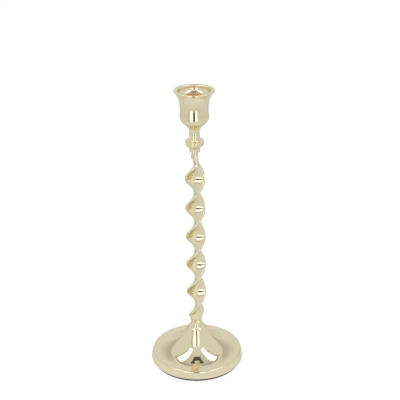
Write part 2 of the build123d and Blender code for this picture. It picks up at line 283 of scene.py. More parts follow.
class StageSettings(PropertyGroup):
    """Camera, lamps and surroundings."""

    lens: FloatProperty(name="Lens", description="Focal length of the camera", default=85.5, unit="CAMERA")
    eye: FloatVectorProperty(
        name="Eye", description="Place of the camera",
        default=(0.004688, -0.86538, 0.57808), size=3, unit="LENGTH",
    )
    pitch: slant("Pitch", "How far the camera looks down", 24.43)
    roll: slant("Roll", "How far the camera leans", -0.54)
    floor: tint("Floor", "Colour of the floor", (0.86, 0.86, 0.85))
    floor_shade: tint("Floor shade", "Part of the seen floor that shadows darken", (0.15, 0.15, 0.15))
    floor_glow: level("Floor glow", "Part of the seen floor that stays white", 0.875)
    floor_dim: tint("Floor dimness", "Part of the reflected floor that shadows darken", (0.4, 0.4, 0.395))
    surround: tint("Surround", "Level of the pale room that the metal shows", (0.785, 0.805, 0.825))
    # The floor that the metal shows is brighter by the foot and dimmer and warmer right behind it: painted
    # light thrown by the foot's brass, and the foot's painted shadow.
    floor_near: level("Floor near", "How bright the metal shows the floor by the foot", 0.58)
    floor_far: level("Floor far", "How bright the metal shows the floor farther off", 0.46)
    floor_back: level("Floor back", "How bright the metal shows the floor right behind the foot", 0.44)
    floor_warm: tint("Floor warmth", "Light from the foot on the floor right behind it", (0.74, 0.64, 0.42))
    lamp_height: size("Lamp height", "Height of the two long overhead lamps", 1.65)
    lamp_inner: size("Lamp inner edge", "Distance of their inner edges from the middle", 0.52)
    lamp_outer: size("Lamp outer edge", "Distance of their outer edges from the middle", 0.92)
    lamp_front: size("Lamp front", "How far they reach to the camera's side", 0.85)
    lamp_back: size("Lamp back", "How far they reach to the far side", 0.62)
    lamp_frame: size("Lamp frame", "Width of the darker frame round each lamp", 0.07)
    lamp_level: level("Lamp level", "Brightness of the lamps' faces", 2.2)
    frame_level: level("Frame level", "Brightness of the frames round the lamps", 0.3)
    band_start: slant("Band start", "Sharp side of the darker bands behind, from the camera's direction", 129)
    band_core: slant("Band core", "Width of each band's darkest part", 8)
    band_fade: slant("Band fade", "Width over which each band fades to the back", 19)
    band_distance: size("Band distance", "Distance of the bands", 0.52)
    band_height: size("Band height", "Height of the bands", 0.8)
    band_level: level("Band level", "Brightness of the bands' darkest part", 0.56)
    card_distance: size("Card distance", "Distance of the white cards beside the camera", 0.8)
    card_height: size("Card height", "Height of the cards", 1.15)
    card_left: slant("Card left", "Outer edge of the left card, from the camera's direction", -31)
    gap_left: slant("Gap left", "Left edge of the gap between the cards", -10)
    gap_right: slant("Gap right", "Right edge of the gap between the cards", 6.5)
    card_right: slant("Card right", "Outer edge of the right card", 22)
    card_soft: slant("Card softness", "Width of the soft edges of the cards", 3)
    card_level: level("Card level", "Brightness of the cards", 1.7)
    gap_level: level("Gap level", "Brightness of the gap between the cards", 0.08)
    gap_high: level("Gap high", "Brightness of the gap at the cards' tops", 0.4)
    shade_level: level("Shade level", "Brightness of the ceiling behind the lamps", 0.42)
    line_angle: slant("Line angle", "Direction of the thin darker line beside the left card", -46)
    line_level: level("Line level", "Brightness of that line", 0.3)


class Outline:
    """Half section of a turned piece, drawn in the plane of X and Z."""

    # Longest step, most turn in one step and fewest steps of an arc.
    spacing = 0.0009
    finest = radians(6)
    fewest = 4
    # Short straight step at each end of a rounding, which keeps the shading of the flats flat.
    hold = 0.00006

    def __init__(self, radius, height):
        self.bm = bmesh.new()
        self.end = self.bm.verts.new((radius, 0, height))

    @property
    def place(self):
        """Where the outline has come to, as (radius, height)."""
        return self.end.co.xz

    def step(self):
        """Draws the end out by one edge of no length."""
        self.end = bmesh.ops.extrude_vert_indiv(self.bm, verts=[self.end])["verts"][0]

    def line(self, radius, height):
        """Straight run, in even steps."""
        way = Vector((radius, 0, height)) - self.end.co
        steps = max(1, round(way.length / self.spacing))
        for _ in range(steps):
            self.step()
            bmesh.ops.translate(self.bm, vec=way / steps, verts=[self.end])

    def arc(self, center, turn):
        """Arc about a centre; a positive turn takes up to out, as a clock's hand goes."""
        swing = abs(turn) * (self.place - center).length
        steps = max(self.fewest, round(swing / self.spacing), round(abs(turn) / self.finest))
        middle = Vector((center.x, 0, center.y))
        part = Matrix.Rotation(turn / steps, 3, "Y")
        for _ in range(steps):
            self.step()
            bmesh.ops.rotate(self.bm, cent=middle, matrix=part, verts=[self.end])

    def arc_to(self, center, goal):
        """Shorter arc about a centre to the point in the direction of the goal."""
        self.arc(center, turn_between(self.place - center, goal - center))

    def corner(self, corner, after, rounding):
        """Straight run into a rounded corner, up to just past where the rounding ends."""
        came = (corner - self.place).normalized()
        goes = (after - corner).normalized()
        turn = turn_between(came, goes)
        cut = rounding * tan(abs(turn) / 2)
        self.line(*(corner - came * (cut + self.hold)))
        self.line(*(corner - came * cut))
        side = rounding if turn > 0 else -rounding
        self.arc(self.place + Vector((came.y, -came.x)) * side, turn)
        self.line(*(self.place + goes * self.hold))

    def turned(self, steps):
        """Turns the outline about Z and closes its seam and poles."""
        bm = self.bm
        bmesh.ops.spin(
            bm, geom=bm.verts[:] + bm.edges[:], cent=(0, 0, 0), axis=(0, 0, 1),
            angle=2 * pi, steps=steps, use_merge=True,
        )
        bmesh.ops.remove_doubles(bm, verts=bm.verts[:], dist=NEAR)
        bmesh.ops.dissolve_degenerate(bm, edges=bm.edges[:], dist=SLIVER)
        bmesh.ops.recalc_face_normals(bm, faces=bm.faces[:])
        return bm


def turn_between(first, last):
    """Angle from one direction to another, positive as a clock's hand goes."""
    return -atan2(first.x * last.y - first.y * last.x, first.dot(last))


def out_of(slope):
    """Unit vector out of a surface that falls outward at this slope."""
    return Vector((sin(slope), cos(slope)))


def down(slope):
    """Unit vector down a surface that falls outward at this slope."""
    return Vector((cos(slope), -sin(slope)))


def first_hit(start, way, center, radius):
    """First place where a line through a point, followed along its way, meets a circle."""
    off = start - center
    along = off.dot(way)
    return start - way * (along + sqrt(radius**2 - off.length_squared + along**2))


def mark_seams(bm, heights, reach):
    """Stores how near each point is to a joint, for the finish to read."""
    layer = bm.verts.layers.float.new("joint")
    for vert in bm.verts:
        vert[layer] = max(exp(-(((vert.co.z - height) / reach) ** 2)) for height in heights)


def mark_unpolished(bm, missing):
    """Stores how much of the polish each point lacks, from its radius and height."""
    layer = bm.verts.layers.float.new("unpolished")
    for vert in bm.verts:
        vert[layer] = missing(hypot(vert.co.x, vert.co.y), vert.co.z)


def placed(name, data):
    """New object in the scene."""
    made = bpy.data.objects.new(name, data)
    bpy.context.scene.collection.objects.link(made)
    return made


def meshed(bm, name, finish):
    """New object from a finished bmesh, with one material."""
    mesh = bpy.data.meshes.new(name)
    bm.to_mesh(mesh)
    bm.free()
    mesh.materials.append(finish)
    return placed(name, mesh)


def finished(bm, name, finish, node, crease=CREASE):
    """Makes the piece's object, in place of its solid."""
    for face in bm.faces:
        face.smooth = True
    for edge in bm.edges:
        edge.smooth = edge.calc_face_angle(0) < crease
    piece = meshed(bm, name, finish)
    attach(piece, "root")
    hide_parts(node)
    return piece


class Nodes:
    """Short way to place and join shader nodes."""

    def __init__(self, tree):
        self.tree = tree

    def feed(self, node, **inputs):
        """Sets a node's inputs from values or sockets; i with a number names an input by its place."""
        for key, value in inputs.items():
            by_place = key[0] == "i" and key[1:].isdigit()
            socket = node.inputs[int(key[1:]) if by_place else key.replace("_", " ")]
            if isinstance(value, NodeSocket):
                self.tree.links.new(value, socket)
            else:
                socket.default_value = value
        return node

    def add(self, kind, settings=None, **inputs):
        """Places a node, sets it up and feeds its inputs."""
        node = self.tree.nodes.new("ShaderNode" + kind)
        for key, value in (settings or {}).items():
            setattr(node, key, value)
        return self.feed(node, **inputs)

    def math(self, operation, first, second=0.0):
        """Result of a sum on numbers."""
        return self.add("Math", {"operation": operation}, i0=first, i1=second).outputs[0]

    def spread(self, value, low, high, to_low, to_high):
        """Value taken from one range to another, and kept inside it."""
        limits = {"From_Min": low, "From_Max": high, "To_Min": to_low, "To_Max": to_high}
        return self.add("MapRange", None, Value=value, **limits).outputs["Result"]

    def blend(self, amount, first, second):
        """Colour between two colours."""
        return self.add("Mix", {"data_type": "RGBA"}, i0=amount, i6=first, i7=second).outputs[2]

    def shader(self, kind, **inputs):
        """What a shader node puts out."""
        return self.add(kind, None, **inputs).outputs[0]

    def place(self):
        """Place on the piece, in the holder's own coordinates."""
        return self.add("TexCoord").outputs["Object"]

    def stored(self, name):
        """Number that the mesh stores at each point."""
        return self.add("Attribute", {"attribute_name": name}).outputs["Fac"]

    def use(self, tree, **inputs):
        """What a node group puts out."""
        return self.add("Group", {"node_tree": tree}, **inputs).outputs

    def noise(self, place, scale, detail, roughness=0.5, distortion=0.0, dimensions="3D"):
        """Value of a noise."""
        return self.add(
            "TexNoise", {"noise_dimensions": dimensions}, Vector=place,
            Scale=scale, Detail=detail, Roughness=roughness, Distortion=distortion,
        ).outputs["Fac"]

    def bump(self, height, strength, distance, **more):
        """Normal of a surface that a height bends."""
        return self.add(
            "Bump", None, Height=height, Strength=strength, Distance=distance, **more
        ).outputs["Normal"]


def rgba(color):
    """Colour with its fourth number."""
    return (*color, 1.0)


def group(name, inputs, outputs):
    """Empty shader node group with named number inputs and outputs."""
    tree = bpy.data.node_groups.new(name, "ShaderNodeTree")
    for label, default in inputs.items():
        socket = tree.interface.new_socket(label, in_out="INPUT", socket_type="NodeSocketFloat")
        socket.default_value = default
    for label in outputs:
        tree.interface.new_socket(label, in_out="OUTPUT", socket_type="NodeSocketFloat")
    enter, leave = (tree.nodes.new(kind) for kind in ("NodeGroupInput", "NodeGroupOutput"))
    return tree, Nodes(tree), enter.outputs, leave


def polish_group():
    """Cloudy haze left by the polishing wheel, and the slow waves that bend reflections."""
    name = "wheel_polish"
    if name in bpy.data.node_groups:
        return bpy.data.node_groups[name]
    tree, nodes, enter, leave = group(name, {"Cloud Scale": 90.0, "Wave Scale": 45.0}, ("Haze", "Wave"))
    place = nodes.place()
    cloud = nodes.noise(place, enter["Cloud Scale"], detail=5.0, roughness=0.62)
    wave = nodes.noise(place, enter["Wave Scale"], detail=1.0, roughness=0.4)
    nodes.feed(leave, Haze=nodes.spread(cloud, 0.36, 0.72, 0.0, 1.0), Wave=wave)
    return tree


def lathe_group():
    """Fine rings left by turning: they change with height and radius, and not round the axis."""
    name = "lathe_rings"
    if name in bpy.data.node_groups:
        return bpy.data.node_groups[name]
    tree, nodes, enter, leave = group(name, {"Ring Scale": 2600.0}, ("Rings",))
    axes = nodes.add("SeparateXYZ", None, Vector=nodes.place()).outputs
    square = nodes.math("ADD", nodes.math("POWER", axes["X"], 2.0), nodes.math("POWER", axes["Y"], 2.0))
    flat = nodes.add("CombineXYZ", None, X=nodes.math("SQRT", square), Y=axes["Z"]).outputs["Vector"]
    rings = nodes.noise(flat, enter["Ring Scale"], detail=3.0, roughness=0.7, dimensions="2D")
    nodes.feed(leave, Rings=rings)
    return tree


def joint_shade_group():
    """Painted shade in a joint, where the pieces meet, broken up by noise."""
    name = "joint_tarnish"
    if name in bpy.data.node_groups:
        return bpy.data.node_groups[name]
    tree, nodes, enter, leave = group(name, {"Amount": 0.5, "Grain": 700.0}, ("Mask",))
    grain = nodes.noise(nodes.place(), enter["Grain"], detail=4.0, roughness=0.6)
    broken = nodes.math("MULTIPLY", nodes.stored("joint"), nodes.spread(grain, 0.3, 0.7, 0.25, 1.0))
    nodes.feed(leave, Mask=nodes.math("MULTIPLY", broken, enter["Amount"]))
    return tree


def material(name):
    """New material, a way to place its nodes, and its Principled BSDF."""
    made = bpy.data.materials.new(name)
    made.use_nodes = True
    return made, Nodes(made.node_tree), made.node_tree.nodes["Principled BSDF"]


def bare_material(name):
    """New material without a shader, a way to place its nodes, and its output."""
    made, nodes, shader = material(name)
    made.node_tree.nodes.remove(shader)
    return made, nodes, made.node_tree.nodes["Material Output"]


def polished_brass(name, lines):
    """Mirror-polished pale brass; lines makes the fine marks that the polish left."""
    if name in bpy.data.materials:
        return bpy.data.materials[name]
    look = bpy.context.scene.holder_finish
    made, nodes, shader = material(name)
    polish = nodes.use(polish_group(), Cloud_Scale=90.0, Wave_Scale=45.0)
    # Painted shade in the joints: darker and duller brass where the pieces meet.
    tarnish = nodes.use(joint_shade_group(), Amount=look.joint_shade_amount, Grain=700.0)["Mask"]
    raw = nodes.stored("unpolished")
    marks = lines(nodes)

    thin = nodes.spread(polish["Haze"], 0.0, 1.0, 0.0, look.thin_polish)
    worn = nodes.blend(thin, rgba(look.brass), rgba(look.brass_deep))
    bare = nodes.blend(nodes.math("POWER", raw, RAW_ONSET), worn, rgba(look.socket))
    haze = nodes.spread(polish["Haze"], 0.0, 1.0, look.gloss, look.haze)
    streaky = nodes.math("ADD", haze, nodes.spread(marks, 0.35, 0.75, 0.0, look.streaks))
    dull = nodes.math("ADD", streaky, nodes.math("MULTIPLY", tarnish, look.joint_shade_rough))
    waves = nodes.bump(polish["Wave"], strength=1.0, distance=0.00004)
    nodes.feed(
        shader,
        Base_Color=nodes.blend(tarnish, bare, rgba(look.tarnish)),
        Metallic=1.0,
        Roughness=nodes.math("ADD", dull, nodes.math("MULTIPLY", raw, look.raw_rough)),
        Normal=nodes.bump(marks, strength=0.06, distance=0.00001, Normal=waves),
    )
    return made


def ring_lines(nodes):
    """Marks round the axis, for turned and spun pieces."""
    return nodes.use(lathe_group(), Ring_Scale=2600.0)["Rings"]


def long_lines(nodes):
    """Marks along the bar, from the places across and along it that its mesh stores."""
    across = nodes.math("MULTIPLY", nodes.stored("across"), MARKS_ACROSS)
    along = nodes.math("MULTIPLY", nodes.stored("along"), MARKS_ALONG)
    flat = nodes.add("CombineXYZ", None, X=across, Y=along).outputs["Vector"]
    return nodes.noise(flat, 1.0, detail=3.0, roughness=0.7, dimensions="2D")


def turned_metal(name, color, smooth, coarse, ring_scale):
    """Turned or plated metal inside the holder, with tool rings and a mottled surface."""
    made, nodes, shader = material(name)
    mottle = nodes.use(polish_group(), Cloud_Scale=400.0)["Haze"]
    rings = nodes.use(lathe_group(), Ring_Scale=ring_scale)["Rings"]
    darker = tuple(0.72 * part for part in color)
    mixed = nodes.math("MULTIPLY", nodes.math("ADD", rings, mottle), 0.5)
    nodes.feed(
        shader,
        Base_Color=nodes.blend(mottle, rgba(color), rgba(darker)),
        Metallic=1.0,
        Roughness=nodes.spread(mixed, 0.2, 0.8, smooth, coarse),
        Normal=nodes.bump(rings, strength=0.3, distance=0.00003),
    )
    return made


def cast_metal(name, color, rust):
    """Sand-cast iron: grainy, dark, with a trace of rust in patches."""
    made, nodes, shader = material(name)
    place = nodes.place()
    sand = nodes.noise(place, 1400.0, detail=6.0, roughness=0.7)
    patch = nodes.noise(place, 120.0, detail=5.0, roughness=0.6)
    nodes.feed(
        shader,
        Base_Color=nodes.blend(nodes.spread(patch, 0.52, 0.72, 0.0, 0.45), rgba(color), rgba(rust)),
        Metallic=0.6,
        Roughness=nodes.spread(sand, 0.3, 0.7, 0.55, 0.85),
        Normal=nodes.bump(sand, strength=0.8, distance=0.0002),
    )
    return made


def wool_felt(name, color, fleck):
    """Pressed wool: matted fibres, flecks of paler wool and a soft sheen."""
    made, nodes, shader = material(name)
    place = nodes.place()
    fibres = nodes.noise(place, 900.0, detail=8.0, roughness=0.75, distortion=1.5)
    flecks = nodes.noise(place, 2600.0, detail=2.0, distortion=3.0)
    pale = tuple(min(1.0, 2.4 * part) for part in color)
    worn = nodes.blend(nodes.spread(fibres, 0.35, 0.7, 0.0, 0.6), rgba(color), rgba(pale))
    height = nodes.math("ADD", fibres, nodes.math("MULTIPLY", flecks, 0.5))
    nodes.feed(
        shader,
        Base_Color=nodes.blend(nodes.spread(flecks, 0.62, 0.75, 0.0, 0.5), worn, rgba(fleck)),
        Roughness=0.95,
        Sheen_Weight=0.25,
        Sheen_Roughness=0.6,
        Normal=nodes.bump(height, strength=0.9, distance=0.0004),
    )
    return made


def foot_centers(foot):
    """Centres of the bell and dish arcs and the dish arc's radius; the cone sets that radius."""
    cone, bell, dish = (out_of(slope) for slope in (foot.cone_slope, foot.bell_slope, foot.dish_slope))
    rise = tan(foot.cone_slope)
    crest_radius = foot.radius - foot.rim_height * tan(foot.rim_draft)
    crest = Vector((crest_radius, foot.felt_thickness + foot.rim_height))
    start = crest + (bell - cone) * foot.bell_radius
    step = dish - bell
    miss = (start.x - foot.top_radius) * rise + start.y - foot.height
    dish_radius = -miss / (step.x * rise + step.y)
    dish_center = crest + dish * dish_radius
    bell_center = dish_center + bell * (foot.bell_radius - dish_radius)
    return bell_center, dish_center, dish_radius


class HOLDER_OT_felt(Operator):
    """Round felt pad with a rounded edge"""

    bl_idname = "holder.felt"
    bl_label = "Felt pad"

    def execute(self, context):
        foot = context.scene.holder_foot
        look = context.scene.holder_finish
        radius = foot.radius - foot.felt_inset
        edge = foot.felt_edge
        outline = Outline(0, 0)
        outline.spacing = FELT_SPACING
        outline.corner(Vector((radius, 0)), Vector((radius, foot.felt_thickness)), edge)
        outline.corner(Vector((radius, foot.felt_thickness)), Vector((0, foot.felt_thickness)), edge)
        outline.line(0, foot.felt_thickness)
        bm = outline.turned(FELT_STEPS)
        pad = finished(bm, "felt_disc", wool_felt("felt_dark", look.felt, look.fleck), "felt_pad")
        return {"FINISHED"}


class HOLDER_OT_foot(Operator):
    """Spun foot: cone, bell, dish and rim, with the hollow inside"""

    bl_idname = "holder.foot"
    bl_label = "Spun foot"

    def execute(self, context):
        foot = context.scene.holder_foot
        look = context.scene.holder_finish
        bell_center, dish_center, dish_radius = foot_centers(foot)
        low = foot.felt_thickness
        lean = Vector((-sin(foot.rim_draft), cos(foot.rim_draft)))
        inward = Vector((-cos(foot.rim_draft), -sin(foot.rim_draft)))
        edge = Vector((foot.radius, low))
        top = Vector((foot.top_radius, foot.height))
        cap_end = Vector((foot.cap_radius, foot.height - foot.cap_drop))
        cone_end, throat_end, bell_end = (
            bell_center - out_of(slope) * foot.bell_radius
            for slope in (foot.cone_slope, foot.throat_slope, foot.bell_slope)
        )

        outline = Outline(0, foot.height + foot.dome_rise)
        outline.line(foot.dome_start, foot.height + foot.dome_rise)
        fall = down(foot.cap_slope)
        outline.corner(top, top + fall, foot.dome_rounding)
        bend = out_of(foot.cap_slope) - out_of(foot.cap_flare)
        flare_end = cap_end - down(foot.cap_flare) * foot.cap_rounding
        flare_radius = (flare_end - top).cross(fall) / bend.cross(fall)
        outline.line(*(flare_end - bend * flare_radius))
        flare_center = outline.place + out_of(foot.cap_slope) * flare_radius
        outline.arc(flare_center, foot.cap_flare - foot.cap_slope)
        chord = cap_end - throat_end
        outward = out_of(foot.throat_slope)
        throat_center = throat_end + outward * chord.length_squared / (2 * chord.dot(outward))
        square = throat_center - cap_end
        outline.corner(cap_end, cap_end + Vector((square.y, -square.x)), foot.cap_rounding)
        outline.arc_to(throat_center, throat_end)
        outline.arc_to(bell_center, bell_end)
        crest = edge + inward * foot.crest_rounding
        crest_center = first_hit(crest, lean, dish_center, dish_radius + foot.crest_rounding)
        outline.arc_to(dish_center, crest_center)
        outline.arc_to(crest_center, crest_center - inward)
        outline.corner(edge, Vector((0, low)), foot.edge_rounding)

        inner = Vector((foot.radius - foot.wall / cos(foot.rim_draft), low))
        outline.line(*inner)
        outline.line(*first_hit(inner, lean, dish_center, dish_radius + foot.wall))
        outline.arc_to(dish_center, bell_end)
        outline.arc_to(bell_center, cone_end)
        under = foot.height - foot.wall
        run = (under - outline.place.y) / tan(foot.cone_slope)
        outline.line(outline.place.x - run, under)
        outline.line(0, under)
        bm = outline.turned(FOOT_STEPS)
        # Height of the joint with the felt, for the painted shade there.
        mark_seams(bm, (low,), foot.joint_reach)

        def missing(away, height):
            """A part of the polish on the cone's end, round the bar."""
            return look.dome_raw * (away < foot.top_radius and height > foot.height - NEAR)

        mark_unpolished(bm, missing)
        finished(bm, "foot_spun", polished_brass("brass_turned", ring_lines), "base_shell")
        return {"FINISHED"}


class HOLDER_OT_bar(Operator):
    """Flat bar, twisted as it is drawn up, with its two ends narrowed and a tang on each"""

    bl_idname = "holder.bar"
    bl_label = "Twisted bar"

    def execute(self, context):
        bar = context.scene.holder_bar
        low = context.scene.holder_foot.height
        half, thick = bar.width / 2, bar.thickness / 2

        outline = Outline(0, -thick)
        corners = [Vector(end) for end in ((half, -thick), (half, thick), (-half, thick), (-half, -thick))]
        for corner, after in zip(corners, (*corners[1:], Vector((0, -thick)))):
            outline.corner(corner, after, bar.edge_rounding)
        outline.line(0, -thick)
        bm = outline.bm
        bmesh.ops.remove_doubles(bm, verts=bm.verts[:], dist=NEAR)
        bmesh.ops.rotate(bm, cent=(0, 0, 0), matrix=Matrix.Rotation(-pi / 2, 3, "X"), verts=bm.verts[:])
        across = bm.verts.layers.float.new("across")
        along = bm.verts.layers.float.new("along")
        for vert in bm.verts:
            vert[across] = vert.co.x

        def eased(past):
            """Length twisted by a point this far past the twist's start, where it sets in over the ease."""
            inside = min(max(past + bar.ease / 2, 0), bar.ease)
            return inside**2 / (2 * bar.ease) + max(past - bar.ease / 2, 0)

        def place(height, width):
            """Where the section stands at a height above the bar's foot, at a width."""
            run = eased(height - bar.foot_flat) - eased(height - bar.length + bar.head_flat)
            angle = bar.clocking + 2 * pi * bar.turns * run / (bar.length - bar.foot_flat - bar.head_flat)
            thin = 1 if width > bar.tang_width else 1 - bar.tang_play / bar.thickness
            narrow = Matrix.Diagonal((width / bar.width, thin, 1, 1))
            return Matrix.Translation((0, 0, low + height)) @ Matrix.Rotation(angle, 4, "Z") @ narrow

        def width_at(height):
            """Width of the bar, drawn in by a slow curve at each end."""
            full = bar.width + 2 * bar.taper_past
            widths = [bar.width]
            for past, start, taper in (
                (height, bar.foot_width, bar.foot_taper),
                (bar.length - height, bar.head_width, bar.head_taper),
            ):
                way = min(past / taper, 1)
                widths.append(start + (full - start) * (3 - 2 * way) * way**2)
            return min(widths)

        heights = [bar.length * ring / BAR_RINGS for ring in range(BAR_RINGS + 1)]
        stations = [(-bar.foot_tang, bar.tang_width), (0, bar.tang_width)]
        stations += [(height, width_at(height)) for height in heights]
        stations += [(bar.length, bar.tang_width), (bar.length + bar.head_tang, bar.tang_width)]
        now = place(*stations[0])
        bmesh.ops.transform(bm, matrix=now, verts=bm.verts[:])
        ring_edges = bm.edges[:]
        bmesh.ops.contextual_create(bm, geom=ring_edges)
        for station in stations[1:]:
            drawn = bmesh.ops.extrude_edge_only(bm, edges=ring_edges)["geom"]
            verts = [part for part in drawn if isinstance(part, bmesh.types.BMVert)]
            ring = set(verts)
            edges = [part for part in drawn if isinstance(part, bmesh.types.BMEdge)]
            ring_edges = [edge for edge in edges if ring.issuperset(edge.verts)]
            then = place(*station)
            bmesh.ops.transform(bm, matrix=then @ now.inverted(), verts=verts)
            for vert in verts:
                vert[along] = station[0]
            now = then
        bmesh.ops.contextual_create(bm, geom=ring_edges)
        bmesh.ops.recalc_face_normals(bm, faces=bm.faces[:])
        # Height of the joint with the collar, for the painted shade there.
        mark_seams(bm, (low + bar.length,), bar.joint_reach)
        brass = polished_brass("brass_bar", long_lines)
        finished(bm, "bar_twisted", brass, "twisted_bar", BAR_CREASE)
        return {"FINISHED"}


class HOLDER_OT_knop(Operator):
    """Turned collar, knop and neck"""

    bl_idname = "holder.knop"
    bl_label = "Knop"

    def execute(self, context):
        knop = context.scene.holder_knop
        look = context.scene.holder_finish
        low = context.scene.holder_foot.height + context.scene.holder_bar.length
        sleeve = Vector((knop.collar_radius, low + knop.collar_sleeve))
        bottom = Vector((knop.radius - knop.height * tan(knop.draft), sleeve.y + knop.under))
        top = Vector((knop.radius, bottom.y + knop.height))
        neck = Vector((knop.neck_radius, top.y))
        seat = neck.y + knop.neck
        outline = Outline(0, low)
        outline.line(knop.collar_radius - knop.collar_chamfer, low)
        outline.line(knop.collar_radius, low + knop.collar_chamfer)
        outline.corner(sleeve, bottom, knop.sleeve_hollow)
        outline.corner(bottom, top, knop.edge)
        outline.corner(top, neck, knop.edge)
        outline.corner(neck, Vector((knop.neck_radius, seat)), knop.neck_hollow)
        outline.line(knop.neck_radius, seat)
        outline.line(knop.bore, seat)
        outline.line(knop.bore, seat - knop.bore_depth)
        outline.line(0, seat - knop.bore_depth)
        bm = outline.turned(KNOP_STEPS)
        # Heights of the joints at both ends, for the painted shade there.
        mark_seams(bm, (low, seat), knop.joint_reach)
        mark_unpolished(bm, lambda away, height: look.knop_raw * (away > bottom.x - knop.edge))
        finished(bm, "knop_turned", polished_brass("brass_turned", ring_lines), "stem_knop")
        return {"FINISHED"}


class HOLDER_OT_cup(Operator):
    """Turned tulip cup with its candle socket"""

    bl_idname = "holder.cup"
    bl_label = "Candle cup"

    def execute(self, context):
        cup, knop = context.scene.holder_cup, context.scene.holder_knop
        look = context.scene.holder_finish
        lip = cad_box[1].z
        low = lip - cup.height
        waist_radius = cup.socket_radius + cup.wall
        belly_radius = waist_radius + cup.swell
        lip_radius = waist_radius + cup.overhang
        waist = Vector((waist_radius, lip - cup.waist_drop))
        socket = lip - cup.socket_drop
        lip_inside = Vector((lip_radius - cup.lip_wall, lip))
        mouth_side = lip_inside - Vector((0, cup.mouth_rounding))
        mouth_center = mouth_side - Vector((cup.mouth_arc, 0))
        mouth_depth = sqrt(cup.mouth_arc**2 - (cup.socket_radius - mouth_center.x) ** 2)
        socket_edge = Vector((cup.socket_radius, mouth_center.y - mouth_depth))
        slant_side = sin(UNDER_SLOPE)

        outline = Outline(cup.screw_radius + cup.clearance, low)
        outline.line(knop.neck_radius, low)
        outline.arc(outline.place + Vector((cup.under_radius, 0)), UNDER_SLOPE)
        run = belly_radius - cup.corner_radius * (1 - slant_side) - outline.place.x
        outline.line(*(outline.place + Vector((run, run))))
        outline.arc(outline.place + Vector((-1, 1)) * slant_side * cup.corner_radius, -UNDER_SLOPE)
        drop = waist - outline.place
        sway = (drop.y**2 + drop.x**2) / (4 * abs(drop.x))
        swing = 2 * atan2(abs(drop.x), drop.y)
        outline.arc(outline.place - Vector((sway, 0)), -swing)
        outline.arc(waist + Vector((sway, 0)), swing)
        outline.arc(waist + Vector((cup.flare_radius, 0)), cup.flare_lean)
        goal = Vector((lip_radius, lip - cup.lip_edge))
        chord = goal - outline.place
        right = down(cup.flare_lean)
        bend = chord.length_squared / (2 * chord.dot(right))
        outline.arc_to(outline.place + right * bend, goal)
        outline.corner(Vector((lip_radius, lip)), lip_inside, cup.lip_rounding)
        outline.corner(lip_inside, mouth_side, cup.mouth_rounding)
        outline.arc_to(mouth_center, socket_edge)
        outline.line(cup.socket_radius, socket)
        hole = cup.screw_head + cup.clearance
        outline.line(hole, socket)
        step = socket - cup.screw_recess - cup.screw_land
        outline.line(hole, step)
        inner = cup.screw_radius + cup.clearance
        outline.line(inner, step - (hole - inner))
        outline.line(inner, low)
        bm = outline.turned(CUP_STEPS)
        # Heights of the neck and the socket's floor, for the painted shade there.
        mark_seams(bm, (low, socket), cup.joint_reach)

        def missing(away, height):
            """All of the polish in the socket, and a part on the lip's inner edge and over the neck."""
            if height < low + cup.under_radius * slant_side and away > knop.neck_radius - NEAR:
                return look.under_raw
            if height > mouth_side.y - NEAR:
                return look.lip_raw * (away < lip_inside.x + cup.mouth_rounding + NEAR)
            if height > mouth_side.y - cup.mouth_rounding and away < lip_inside.x + NEAR:
                return look.lip_raw
            in_mouth = height > socket_edge.y and away < cup.socket_radius + cup.mouth_raw
            in_bore = away < cup.socket_radius + NEAR
            return height > socket - NEAR and (in_mouth or in_bore)

        mark_unpolished(bm, missing)
        finished(bm, "cup_turned", polished_brass("brass_turned", ring_lines), "candle_cup")
        return {"FINISHED"}


class HOLDER_OT_screw(Operator):
    """Countersunk screw in the socket's floor, with a driver slot"""

    bl_idname = "holder.screw"
    bl_label = "Cup screw"

    def execute(self, context):
        cup = context.scene.holder_cup
        look = context.scene.holder_finish
        lip = cad_box[1].z
        top = lip - cup.socket_drop - cup.screw_recess
        low = lip - cup.height - cup.screw_grip
        outline = Outline(0, low)
        outline.line(cup.screw_radius, low)
        outline.line(cup.screw_radius, top - cup.screw_land - cup.screw_head + cup.screw_radius)
        outline.line(cup.screw_head, top - cup.screw_land)
        outline.line(cup.screw_head, top)
        outline.line(0, top)
        bm = outline.turned(SCREW_STEPS)

        def roof():
            """Faces of the head's flat top."""
            return [face for face in bm.faces if face.calc_center_median().z > top - NEAR]

        for side in (-1, 1):
            faces = roof()
            bits = list({part for face in faces for part in (*face.verts, *face.edges)})
            bmesh.ops.bisect_plane(
                bm, geom=bits + faces, dist=SLIVER,
                plane_co=(side * cup.slot_width / 2, 0, top), plane_no=(1, 0, 0),
            )
        strip = [face for face in roof() if abs(face.calc_center_median().x) < cup.slot_width / 2]
        cut = bmesh.ops.extrude_face_region(bm, geom=strip)["geom"]
        bmesh.ops.delete(bm, geom=strip, context="FACES")
        floor = [part for part in cut if isinstance(part, bmesh.types.BMVert)]
        bmesh.ops.translate(bm, vec=(0, 0, -cup.slot_depth), verts=floor)
        bmesh.ops.recalc_face_normals(bm, faces=bm.faces[:])
        zinc = turned_metal("zinc_screw", look.steel, smooth=0.22, coarse=0.42, ring_scale=900.0)
        finished(bm, "cup_screw_slotted", zinc, "cup_screw")
        return {"FINISHED"}


